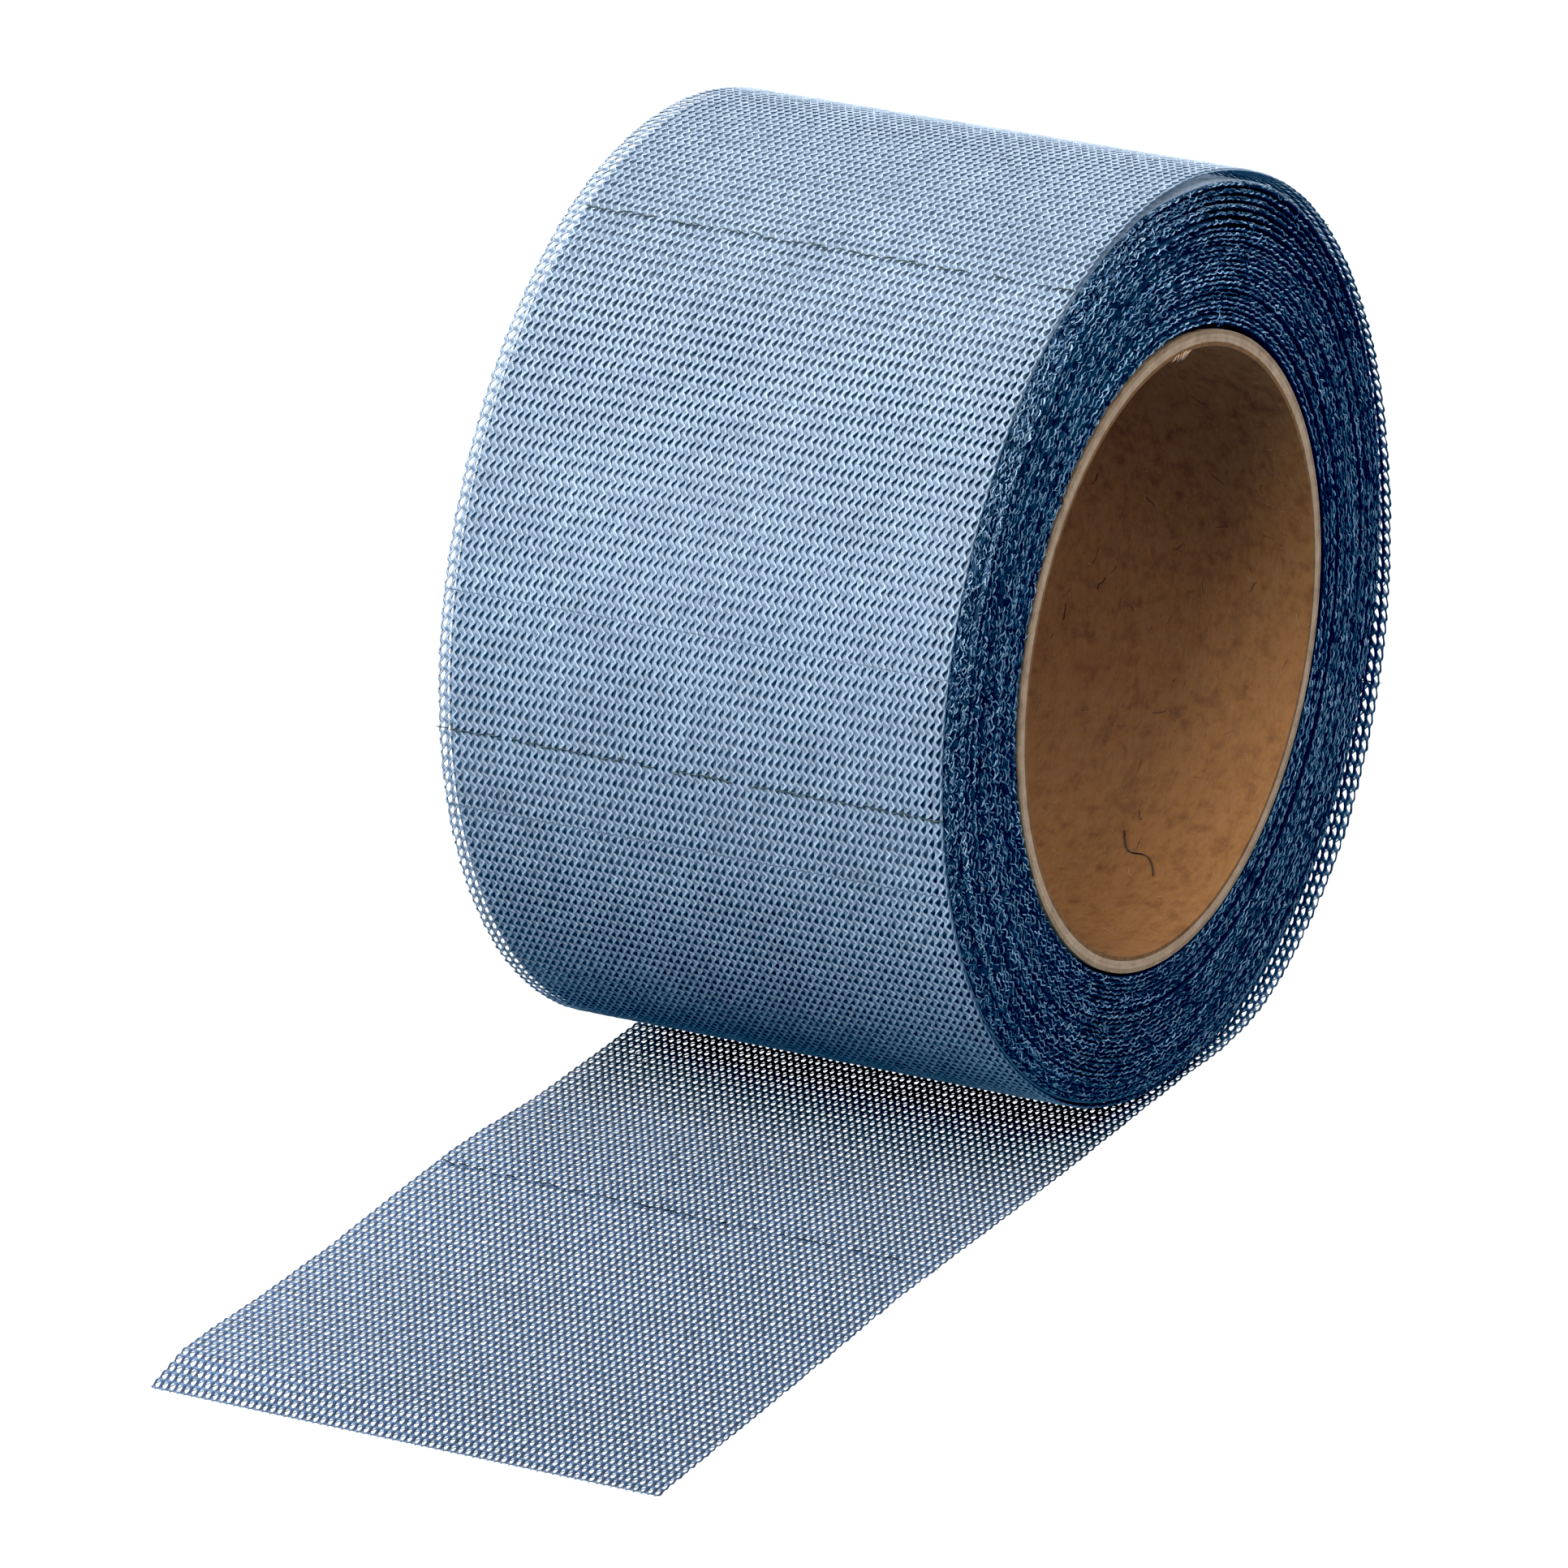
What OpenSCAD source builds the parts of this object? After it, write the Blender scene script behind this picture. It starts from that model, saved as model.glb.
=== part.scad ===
// Roll of knitted net strip on a paperboard core, standing on its own loose
// end. Millimetres. +Y is the roll's axis, +Z is up, +X is the back, and the
// origin is the centre of the core's bore. The strip is one continuous band,
// divided at the lines where it bends, so that it can wind and unwind.

/* [Strip] */
// Width of the strip, along the roll's axis
strip_width = 70; // [50:1:120]
// Thickness of the strip
strip_thick = 0.5; // [0.3:0.05:0.7]
// Distance between two tear lines
tear_pitch = 70; // [60:1:80]
// Bending pieces in one tear length
pieces_per_sheet = 6; // [5:1:7]
// Play between two neighbouring bending pieces
bend_play = 0.05; // [0.02:0.01:0.08]

/* [Core] */
// Radius of the core's bore
bore_radius = 38.1; // [37.5:0.1:38.5]
// Thickness of one paperboard ply
ply_thick = 0.5; // [0.4:0.01:0.5]
// Glue film between two plies
glue_thick = 0.02; // [0.01:0.01:0.03]
// Length of the core
core_length = 70; // [50:1:120]

/* [Starting tape] */
// Thickness of the double-sided tape that starts the winding
tape_thick = 0.1; // [0.06:0.01:0.12]
// Length of the tape along the axis
tape_length = 56; // [20:1:64]
// Angle the tape covers on the core
tape_angle = 28; // [10:1:40]

/* [Winding] */
// Full turns in the tight winding
turns = 26; // [22:1:26]
// Middle radius of the tight winding's outermost point
wind_radius = 56.3; // [56:0.05:56.35]
// Middle radius of the last turn at the front
front_radius = 57; // [57:0.05:57.1]
// How far the last turn stands off at the back
slack_back = 2.15; // [1.8:0.05:2.3]
// Extra rise of the loose last turn near the top
slack_top = 0.75; // [0:0.05:0.9]
// Height of the roll's axis above the floor
axis_height = 58; // [57.95:0.05:58.1]

/* [Loose end] */
// Middle radius of the loose lap behind the roll
lap_radius = 52.7; // [52:0.1:53.2]
// Distance behind the axis where the strip leaves the floor
lift_x = 6.4; // [6:0.1:7]
// Bending pieces in the free tail
tail_count = 10; // [10:1:10]
// Bending pieces that lie flat under the roll
foot_count = 2; // [2:1:2]

/* [Hidden] */

ring_facets = 120;
wind_facets = 96;
bend_facets = 48;
clearance = 0.05;   // between surfaces that would otherwise touch
cut_extra = 2;      // added to a cutter's length so that it passes right through

kraft = [0.66, 0.50, 0.34];
kraft_dark = [0.50, 0.36, 0.23];
tape_cream = [0.86, 0.84, 0.76];
net_light = [0.62, 0.74, 0.85];
net_dark = [0.16, 0.26, 0.42];

// Plies are counted from 0 at the bore
function ply_radius(i) = bore_radius + i * (ply_thick + glue_thick);
core_radius = ply_radius(3) + ply_thick;
tape_radius = core_radius + clearance;
tape_end_gap = 1;   // degrees from the tape to the strip's inner end

// Tight winding: middle radius of its inner end, and radius lost in one turn
wind_start_radius = tape_radius + tape_thick + clearance + strip_thick / 2;
wind_pitch = (wind_radius - wind_start_radius) / turns;

// Strip on the floor, as [x, z] points on its middle
piece_length = tear_pitch / pieces_per_sheet;
flat_z = -axis_height + strip_thick / 2;
foot_front_x = lift_x - foot_count * piece_length;
function tail_point(i) = [foot_front_x - i * piece_length, flat_z];

// Bend lines of the loose lap, as [x, z] points on an arc rising from the floor
lap_step = 180 / PI * piece_length / lap_radius;
function lap_point(i) =
    let (angle = -90 + i * lap_step)
    [lift_x, flat_z + lap_radius] + lap_radius * [cos(angle), sin(angle)];

// The last lap bend line, where the roll's own last turn begins
join = lap_point(pieces_per_sheet);
join_radius = norm(join);
join_angle = atan2(join[1], join[0]);

// Last turn: angles are measured from the back (+X) over the top
turn_steps = 120;
turn_sweep = 359.9;
join_blend = 30;                    // over which the radius leaves the join's
top_span = [22, 96];                // extra rise near the top
slack_span = [80, 150];             // back slack runs out
under_span = [225, 262];            // goes to the radius under the roll
tuck_span = [285, join_angle + 360];    // closes onto the winding
// Middle radius where the turn passes just above the strip on the floor
under_radius = axis_height - 1.5 * strip_thick - clearance;

// Smooth step from 0 at the span's start to 1 at its end
function smooth_step(span, x) =
    let (part = min(1, max(0, (x - span[0]) / (span[1] - span[0]))))
    part * part * (3 - 2 * part);

// Smooth rise from 0 to 1 and back within the span
function hump(span, x) =
    x <= span[0] || x >= span[1] ? 0
        : pow(sin(180 * (x - span[0]) / (span[1] - span[0])), 2);

// Middle radius of the last turn at an angle
function turn_radius(angle) = front_radius
    + slack_back * (1 - smooth_step(slack_span, angle))
    + slack_top * hump(top_span, angle)
    + (join_radius - front_radius - slack_back)
        * pow(max(0, 1 - (angle - join_angle) / join_blend), 2)
    + (under_radius - front_radius) * smooth_step(under_span, angle)
    - (under_radius - wind_radius) * smooth_step(tuck_span, angle);

// i-th point of the last turn, offset outwards from its middle
function turn_point(i, offset_out) =
    let (angle = join_angle + turn_sweep * i / turn_steps)
    (turn_radius(angle) + offset_out) * [cos(angle), sin(angle)];

// i-th ply of the core, a ring about the roll's axis
module ply(i) {
    rotate([90, 0, 0]) difference() {
        cylinder(r = ply_radius(i) + ply_thick, h = core_length, center = true,
                 $fn = ring_facets);
        cylinder(r = ply_radius(i), h = core_length + cut_extra, center = true,
                 $fn = ring_facets);
    }
}

// Cutter along Y that hollows a piece's end for its neighbour's round end
module bend_hollow() {
    rotate([90, 0, 0])
        cylinder(r = strip_thick / 2 + bend_play, h = strip_width + cut_extra,
                 center = true, $fn = bend_facets);
}

// One flat piece of strip between two [x, z] points; its start is full round
// about the bend line, its end is hollowed for the next round start
module strip_piece(start, end, round_start = true, hollow_start = false, hollow_end = true) {
    run = end - start;
    translate([start[0], 0, start[1]]) rotate([0, -atan2(run[1], run[0]), 0]) difference() {
        union() {
            translate([0, -strip_width / 2, -strip_thick / 2])
                cube([norm(run), strip_width, strip_thick]);
            if (round_start) rotate([90, 0, 0])
                cylinder(r = strip_thick / 2, h = strip_width, center = true,
                         $fn = bend_facets);
        }
        if (hollow_start) bend_hollow();
        if (hollow_end) translate([norm(run), 0, 0]) bend_hollow();
    }
}

module core_inner_liner() { color(kraft_dark) ply(0); }
module core_wall_ply_1() { color(kraft) ply(1); }
module core_wall_ply_2() { color(kraft) ply(2); }
module core_outer_ply() { color(kraft) ply(3); }

// Double-sided tape between the core and the strip's inner end
module start_tape() {
    color(tape_cream)
        rotate([90, 0, 0]) rotate([0, 0, join_angle - tape_angle - tape_end_gap])
            rotate_extrude(angle = tape_angle, $fn = ring_facets)
                translate([tape_radius, -tape_length / 2])
                    square([tape_thick, tape_length]);
}

// The tight winding: half turns whose centres alternate, so that each one runs
// on into the next and the whole is one spiral band
module wound_turns() {
    color(net_dark) rotate([90, 0, 0]) rotate([0, 0, join_angle])
        for (k = [0 : 2 * turns - 1]) {
            odd = k % 2;
            translate([-odd * wind_pitch / 2, 0, 0]) rotate([0, 0, odd * 180])
                rotate_extrude(angle = 180, $fn = wind_facets)
                    translate([wind_radius - k * wind_pitch / 2 - strip_thick / 2,
                               -strip_width / 2])
                        square([strip_thick, strip_width]);
        }
}

// The last turn, from the loose lap over the top, down the front and under
// the roll to the winding
module outer_turn() {
    outline = concat(
        [for (i = [0 : turn_steps]) turn_point(i, strip_thick / 2)],
        [for (i = [turn_steps : -1 : 0]) turn_point(i, -strip_thick / 2)]);
    color(net_light) rotate([90, 0, 0]) union() {
        linear_extrude(height = strip_width, center = true) polygon(outline);
        translate([join[0], join[1], 0])
            cylinder(r = strip_thick / 2, h = strip_width, center = true, $fn = bend_facets);
    }
}

// The part of the strip that lies on the floor under the roll
module strip_foot() {
    color(net_dark) strip_piece([foot_front_x, flat_z], [lift_x, flat_z],
                                round_start = false, hollow_start = true);
}

// i-th piece of the loose lap, from the floor up the back
module lap(i) {
    color(net_light) strip_piece(lap_point(i - 1), lap_point(i));
}

// i-th piece of the free tail, from the foot forwards
module tail(i) {
    color(net_dark) strip_piece(tail_point(i - 1), tail_point(i), hollow_end = i < tail_count);
}

core_inner_liner();
core_wall_ply_1();
core_wall_ply_2();
core_outer_ply();
start_tape();
wound_turns();
outer_turn();
strip_foot();
lap(1);  // lap_01
lap(2);  // lap_02
lap(3);  // lap_03
lap(4);  // lap_04
lap(5);  // lap_05
lap(6);  // lap_06
tail(1);  // tail_01
tail(2);  // tail_02
tail(3);  // tail_03
tail(4);  // tail_04
tail(5);  // tail_05
tail(6);  // tail_06
tail(7);  // tail_07
tail(8);  // tail_08
tail(9);  // tail_09
tail(10);  // tail_10
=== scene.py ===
# A roll of knitted net on a paperboard core, lying on its side with a loose end on the floor.
# The roll's axis is y. Front is -x, where the loose end lies; back is +x; up is +z.
# The near end of the roll is at -y, the far end at +y. Polar angles are in degrees about
# the axis: 0 at the back, 90 at the top, 180 at the front, 270 at the bottom.
# The strip runs from the tip of the loose end (the tail), back under the roll, up its back
# (the lap) and then once round as the last turn. Places along it are counted in knit courses.
# The light face is underneath on the tail and outside on the roll; the other face is dark.
import math

import bpy
import numpy as np
from mathutils import Matrix, Vector


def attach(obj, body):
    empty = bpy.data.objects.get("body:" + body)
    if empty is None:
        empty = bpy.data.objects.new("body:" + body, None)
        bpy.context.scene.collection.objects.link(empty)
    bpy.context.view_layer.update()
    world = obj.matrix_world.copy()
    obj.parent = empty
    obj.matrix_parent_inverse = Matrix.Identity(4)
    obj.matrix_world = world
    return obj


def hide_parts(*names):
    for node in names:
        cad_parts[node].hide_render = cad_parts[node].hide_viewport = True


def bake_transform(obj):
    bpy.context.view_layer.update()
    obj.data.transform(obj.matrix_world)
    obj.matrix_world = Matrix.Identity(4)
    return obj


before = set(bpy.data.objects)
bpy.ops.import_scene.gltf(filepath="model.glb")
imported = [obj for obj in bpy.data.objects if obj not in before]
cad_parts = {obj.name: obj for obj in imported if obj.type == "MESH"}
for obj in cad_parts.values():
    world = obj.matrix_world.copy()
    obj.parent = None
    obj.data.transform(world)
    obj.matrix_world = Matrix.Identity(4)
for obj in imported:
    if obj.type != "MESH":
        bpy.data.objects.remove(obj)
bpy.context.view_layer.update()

scene = bpy.context.scene

# ---------------------------------------------------------------- sizes, in millimetres
COURSE = 70.0 / 42        # one knit course along the strip: 42 courses in 70 mm
WALES = 70                # wales across the strip
HALF = 35.0               # half the strip's width
PIECE = 7                 # courses to one piece of the strip
TAIL_PIECES, LAP_PIECES = 10, 6
FLOOR = -58.0
FLAT = -57.75             # height of the strip's middle where it lies flat
LIFT_X = 6.4              # where the strip leaves the floor
LAP_R = 52.7              # radius of the lap
LAP_Z = FLAT + LAP_R
BEND = PIECE * COURSE / LAP_R                    # angle of one lap piece, radians
FOOT_X = LIFT_X - 2 * PIECE * COURSE             # bend between the foot and the tail
JOIN_X = LIFT_X + LAP_R * math.sin(LAP_PIECES * BEND)      # where the lap meets the roll
JOIN_Z = LAP_Z - LAP_R * math.cos(LAP_PIECES * BEND)
JOIN_R = math.hypot(JOIN_X, JOIN_Z)
JOIN_ANGLE = math.degrees(math.atan2(JOIN_Z, JOIN_X))
FRONT_R, BOTTOM_R = 57.0, 57.2                   # middle radius of the last turn
SLACK_BACK, SLACK_TOP = 2.15, 0.75               # how far it stands off there
WIND_R, WIND_R0, TURNS = 56.3, 40.61, 26         # wound turns: outer and inner radius, count
PITCH = (WIND_R - WIND_R0) / TURNS
BORE_R = 38.1                                    # bore of the core

# Course numbers of the strip's bends; a half-integer lies between two holes.
FOOT_COURSE = 0.5
LIFT_COURSE = FOOT_COURSE + 2 * PIECE
JOIN_COURSE = LIFT_COURSE + LAP_PIECES * PIECE
TIP_COURSE = FOOT_COURSE - TAIL_PIECES * PIECE

# How far the strip's edge stands towards the near end round the back: angle, mm
BACK_DRIFT = ((-96, 0), (-90, 0.25), (-80, 0.75), (-73, 0.92), (-57, 0.70), (-44, 0.66),
              (-35, 0.42), (-17, 0.24), (2, 0))
# Height of the tail's two edges off the floor: mm in front of the axis, mm up
NEAR_LIFT = ((0, 0), (30, 0), (39, 0.05), (56, 0.5), (73, 0.9), (88, 0.6), (103, 0.35),
             (120, 0.2), (131, 0.1), (134, 0.05))
FAR_LIFT = ((0, 0), (23, 0), (40, 0.3), (51, 1.2), (60, 1.6), (76, 1.5), (90, 1.1),
            (107, 1.4), (117, 1.9), (126, 2.1), (134, 0.3))


def look_up(table, x):
    """Read a table of (place, value) pairs at x."""
    places, values = zip(*table)
    return np.interp(x, places, values)


def smooth_step(start, end, x):
    """0 before start, 1 after end, eased between; also works with start above end."""
    share = np.clip((np.asarray(x, float) - start) / (end - start), 0, 1)
    return share * share * (3 - 2 * share)


def hump(start, end, x):
    """0 outside start to end, rising smoothly to 1 half way."""
    share = np.clip((np.asarray(x, float) - start) / (end - start), 0, 1)
    return np.sin(math.pi * share) ** 2


# ---------------------------------------------------------------- the strip's course
def turn_radius(angle):
    """Middle radius of the last turn."""
    angle = np.asarray(angle, float)
    to_join = np.clip(1 - (angle - JOIN_ANGLE) / 30, 0, None) ** 2
    return (FRONT_R + SLACK_BACK * (1 - smooth_step(80, 150, angle))
            + SLACK_TOP * hump(22, 96, angle)
            + (JOIN_R - FRONT_R - SLACK_BACK) * to_join
            + (BOTTOM_R - FRONT_R) * smooth_step(225, 262, angle)
            - (BOTTOM_R - WIND_R) * smooth_step(285, JOIN_ANGLE + 360, angle))


TURN_ANGLE = np.linspace(JOIN_ANGLE, JOIN_ANGLE + 360, 4001)
TURN_X = turn_radius(TURN_ANGLE) * np.cos(np.radians(TURN_ANGLE))
TURN_Z = turn_radius(TURN_ANGLE) * np.sin(np.radians(TURN_ANGLE))
TURN_RUN = np.concatenate([[0], np.cumsum(np.hypot(np.diff(TURN_X), np.diff(TURN_Z)))])
END_COURSE = JOIN_COURSE + math.floor(TURN_RUN[-1] / COURSE)     # last whole course


def strip_path(course):
    """Middle line of the strip: x, z, and the unit normal towards the light face."""
    course = np.asarray(course, float)
    run = (course - FOOT_COURSE) * COURSE
    x, z, normal_x, normal_z = (np.empty_like(run) for _ in range(4))

    flat = course <= LIFT_COURSE
    x[flat] = FOOT_X + run[flat]
    z[flat] = FLAT
    normal_x[flat] = 0
    normal_z[flat] = -1

    lap = (course > LIFT_COURSE) & (course <= JOIN_COURSE)
    angle = (course[lap] - LIFT_COURSE) * COURSE / LAP_R
    x[lap] = LIFT_X + LAP_R * np.sin(angle)
    z[lap] = LAP_Z - LAP_R * np.cos(angle)
    normal_x[lap] = np.sin(angle)
    normal_z[lap] = -np.cos(angle)

    turn = course > JOIN_COURSE
    run = (course[turn] - JOIN_COURSE) * COURSE
    reach = 0.8                                  # mm either side, to take the slope
    dx = np.interp(run + reach, TURN_RUN, TURN_X) - np.interp(run - reach, TURN_RUN, TURN_X)
    dz = np.interp(run + reach, TURN_RUN, TURN_Z) - np.interp(run - reach, TURN_RUN, TURN_Z)
    length = np.hypot(dx, dz)
    x[turn] = np.interp(run, TURN_RUN, TURN_X)
    z[turn] = np.interp(run, TURN_RUN, TURN_Z)
    normal_x[turn], normal_z[turn] = dz / length, -dx / length
    return x, z, normal_x, normal_z


def course_angle(course):
    """Polar angle of a course on the last turn."""
    run = (np.asarray(course, float) - JOIN_COURSE) * COURSE
    return np.interp(run, TURN_RUN, TURN_ANGLE)


def course_at(angle):
    """Course number at a polar angle of the last turn."""
    return JOIN_COURSE + np.interp(angle, TURN_ANGLE, TURN_RUN) / COURSE


def front_shift(angle, start, end):
    """The last turn telescopes: over the front it stands this far towards the far end."""
    return 1.4 * smooth_step(start, end, angle) * (1 - smooth_step(240, 300, angle))


def edge_drift(course):
    """How far the strip wanders along the roll's axis."""
    course = np.asarray(course, float)
    angle = course_angle(course)
    lap_angle = -90 + (course - LIFT_COURSE) * math.degrees(COURSE / LAP_R)
    back_angle = np.where(course < JOIN_COURSE, np.minimum(lap_angle, JOIN_ANGLE), angle)
    return front_shift(angle, 50, 82) - look_up(BACK_DRIFT, back_angle)


def farness(y):
    """Share of the way across the strip: 0 at the near edge, 1 at the far edge."""
    return np.clip((y + HALF) / (2 * HALF), 0, 1)


def tail_lift(x, y):
    """How far the loose end stands off the floor. It lies nearly flat, with slow waves."""
    near, far = look_up(NEAR_LIFT, -x), look_up(FAR_LIFT, -x)
    return near + (far - near) * farness(y) ** 1.5


def on_strip(course, across, height):
    """Points at places across the strip and heights towards its light face."""
    x, z, normal_x, normal_z = strip_path(course)
    # the far side of the last turn sits closer over the top
    closer = 0.45 * hump(30, 118, course_angle(course))[:, None] * farness(across)
    height = height - closer
    px = x[:, None] + normal_x[:, None] * height
    py = across + edge_drift(course)[:, None]
    pz = z[:, None] + normal_z[:, None] * height
    flat = course <= LIFT_COURSE
    pz[flat] += tail_lift(px[flat], across[flat]) + 0.02
    return np.stack([px, py, pz], -1)


# ---------------------------------------------------------------- mesh helpers
def facets(*corners, flip=False):
    """Faces from one array of vertex numbers to each corner."""
    faces = np.stack(corners, -1).reshape(-1, len(corners))
    return faces[:, ::-1] if flip else faces


def make_mesh(name, points, faces, material, uv, colours=None, own_uv=None):
    """A smooth mesh object from points in mm.

    faces: list of (n, k) arrays of vertex numbers; uv: a place for each vertex;
    own_uv: other such maps, by number of the face group that uses them."""
    own_uv = own_uv or {}
    mesh = bpy.data.meshes.new(name)
    mesh.vertices.add(len(points))
    places = np.asarray(points, np.float64) / 1000
    mesh.vertices.foreach_set("co", places.astype(np.float32).ravel())
    counts = np.concatenate([np.full(len(group), group.shape[1]) for group in faces])
    loops = np.concatenate([group.ravel() for group in faces])
    mesh.loops.add(len(loops))
    mesh.loops.foreach_set("vertex_index", loops.astype(np.int32))
    mesh.polygons.add(len(counts))
    starts = np.concatenate([[0], np.cumsum(counts)[:-1]])
    mesh.polygons.foreach_set("loop_start", starts.astype(np.int32))
    mesh.polygons.foreach_set("use_smooth", np.full(len(counts), True))
    layer = mesh.uv_layers.new(name="OFBake")
    corner_uv = np.concatenate([own_uv.get(number, uv)[group].reshape(-1, 2)
                                for number, group in enumerate(faces)])
    layer.data.foreach_set("uv", corner_uv.astype(np.float32).ravel())
    mesh.update(calc_edges=True)
    mesh.validate()
    if colours is not None:
        attribute = mesh.color_attributes.new("yarn_colour_and_painted_light", "FLOAT_COLOR", "POINT")
        rgba = np.ones((len(points), 4), np.float32)
        rgba[:, :3] = colours
        attribute.data.foreach_set("color", rgba.ravel())
    mesh.materials.append(material)
    piece = bpy.data.objects.new(name, mesh)
    scene.collection.objects.link(piece)
    return piece


def tubes(name, lines, radius, material, colours=None, sides=3):
    """Closed tubes round polylines. lines: (n, m, 3) in mm; radius: (n,) or (n, m)."""
    lines = np.asarray(lines, float)
    count, length, _ = lines.shape
    radius = np.broadcast_to(np.asarray(radius, float).reshape(count, -1), (count, length))
    tangent = np.gradient(lines, axis=1)
    tangent /= np.linalg.norm(tangent, axis=2, keepdims=True) + 1e-9
    reference = np.zeros((count, 1, 3)) + np.array([0.31, 0.62, 0.72])
    side_a = np.cross(tangent, reference)
    side_a /= np.linalg.norm(side_a, axis=2, keepdims=True) + 1e-9
    side_b = np.cross(tangent, side_a)
    angle = (np.arange(sides) * 2 * math.pi / sides)[None, None, :, None]
    points = lines[:, :, None] + radius[:, :, None, None] * (
        np.cos(angle) * side_a[:, :, None] + np.sin(angle) * side_b[:, :, None])

    ids = np.arange(count * length * sides).reshape(count, length, sides)
    faces = []
    for i in range(sides):
        j = (i + 1) % sides
        faces.append(facets(ids[:, :-1, i], ids[:, :-1, j], ids[:, 1:, j], ids[:, 1:, i]))
    faces += [ids[:, 0, ::-1], ids[:, -1]]

    # each tube has a square of its own in the map
    squares = int(math.ceil(math.sqrt(count)))
    corner_u = (np.arange(count) % squares) / squares
    corner_v = (np.arange(count) // squares) / squares
    along = (0.1 + 0.8 * np.linspace(0, 1, length))[None, :, None] / squares
    around = (0.15 + 0.6 * np.linspace(0, 1, sides))[None, None] / squares
    uv = np.empty((count, length, sides, 2))
    uv[..., 0] = corner_u[:, None, None] + along
    uv[..., 1] = corner_v[:, None, None] + around
    if colours is not None:
        colours = np.broadcast_to(np.asarray(colours)[:, None, None], (*ids.shape, 3))
        colours = colours.reshape(-1, 3)
    return make_mesh(name, points.reshape(-1, 3), faces, material, uv.reshape(-1, 2), colours)


def add_to_roll(piece):
    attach(piece, "roll")


# ---------------------------------------------------------------- materials
def srgb(*channels):
    """Linear colour from 0 to 255 display values."""
    shares = [value / 255 for value in channels]
    return tuple(share / 12.92 if share <= 0.04045 else ((share + 0.055) / 1.055) ** 2.4
                 for share in shares)


class Shader:
    """The node tree of a material or world, emptied and ready to build."""

    def __init__(self, owner):
        owner.use_nodes = True
        self.tree = owner.node_tree
        self.tree.nodes.clear()

    def node(self, kind, inputs=None, **settings):
        node = self.tree.nodes.new("ShaderNode" + kind)
        for setting, value in settings.items():
            setattr(node, setting, value)
        self.feed(node, inputs or {})
        return node

    def feed(self, node, inputs):
        """Link sockets and set plain values, by input name or number."""
        for key, value in inputs.items():
            socket = node.inputs[key]
            if isinstance(value, bpy.types.NodeSocket):
                self.tree.links.new(value, socket)
            elif isinstance(value, tuple) and socket.type == "RGBA":
                socket.default_value = (*value, 1)
            else:
                socket.default_value = value

    def noise(self, vector, scale, detail, rough, distort=0.0):
        return self.node("TexNoise", {"Scale": scale, "Detail": detail, "Roughness": rough,
                                      "Distortion": distort, "Vector": vector}).outputs[0]

    def ramp(self, factor, *stops):
        """Colour ramp; each stop is a position and a colour."""
        node = self.node("ValToRGB", {0: factor})
        elements = node.color_ramp.elements
        while len(elements) < len(stops):
            elements.new(0.5)
        for element, (position, colour) in zip(elements, stops):
            element.position = position
            element.color = (*colour, 1)
        return node.outputs[0]

    def mix(self, factor, first, second, blend="MIX"):
        return self.node("Mix", {0: factor, 6: first, 7: second},
                         data_type="RGBA", blend_type=blend).outputs[2]

    def math(self, operation, *values):
        return self.node("Math", dict(enumerate(values)), operation=operation).outputs[0]

    def bump(self, height, strength, depth, **inputs):
        """Bump normal; depth in mm."""
        return self.node("Bump", {"Strength": strength, "Distance": depth / 1000,
                                  "Height": height, **inputs}).outputs[0]


class Surface(Shader):
    """A new material with a principled shader."""

    def __init__(self, name):
        self.material = bpy.data.materials.new(name)
        super().__init__(self.material)
        self.output = self.node("OutputMaterial")
        self.principled = self.node("BsdfPrincipled")
        self.feed(self.output, {0: self.principled.outputs[0]})

    def mapped(self, scale=(1, 1, 1), rotation=(0, 0, 0)):
        """Object coordinates, scaled and turned."""
        coordinates = self.node("TexCoord").outputs["Object"]
        return self.node("Mapping", {"Scale": scale, "Rotation": rotation,
                                     "Vector": coordinates}).outputs[0]

    def finish(self, **inputs):
        """Feed the principled shader; underscores stand for spaces in its input names."""
        self.feed(self.principled, {key.replace("_", " "): inputs[key] for key in inputs})
        return self.material


def yarn_material(name, cloud, rough=0.72, sheen=0.25):
    """Knitted yarn: vertex colour with its painted light and shade, clouds of paler and darker
    yarn colour, fine fibre grain.
    """
    surface = Surface(name)
    colour = surface.node("VertexColor", layer_name="yarn_colour_and_painted_light").outputs[0]
    place = surface.mapped()
    clouds = surface.noise(place, scale=55, detail=4, rough=0.6, distort=0.3)   # about 18 mm
    threads = surface.noise(place, scale=900, detail=3, rough=0.6)              # about 1 mm
    fibres = surface.noise(surface.mapped(rotation=(0.4, 0.2, 0.7)),
                           scale=5200, detail=2, rough=0.5)
    white = (1.0, 1.0, 1.0)
    shades = [surface.ramp(clouds, (0.30, (1 - cloud,) * 3), (0.70, white)),
              surface.ramp(threads, (0.30, (0.86, 0.87, 0.89)), (0.72, white)),
              surface.ramp(fibres, (0.30, (0.84, 0.85, 0.87)), (0.70, white)),
              white]                             # overall tint
    for shade in shades:
        colour = surface.mix(1.0, colour, shade, "MULTIPLY")
    return surface.finish(
        Base_Color=colour,
        Roughness=surface.math("MULTIPLY_ADD", threads, 0.2, rough - 0.1),
        Specular_IOR_Level=0.35,
        Sheen_Weight=sheen,
        Sheen_Roughness=0.45,
        Sheen_Tint=(0.80, 0.88, 1.0),
        Normal=surface.bump(fibres, strength=0.5, depth=0.05))


def specks(surface, base, vector, scale, start, full, amount, colour):
    """Specks of a colour over the base, where the noise passes from start to full."""
    spots = surface.ramp(surface.noise(vector, scale=scale, detail=2, rough=0.5),
                         (start, (0, 0, 0)), (full, (1, 1, 1)))
    grey = surface.node("RGBToBW", {0: spots}).outputs[0]
    return surface.mix(surface.math("MULTIPLY", grey, amount), base, colour)


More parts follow.
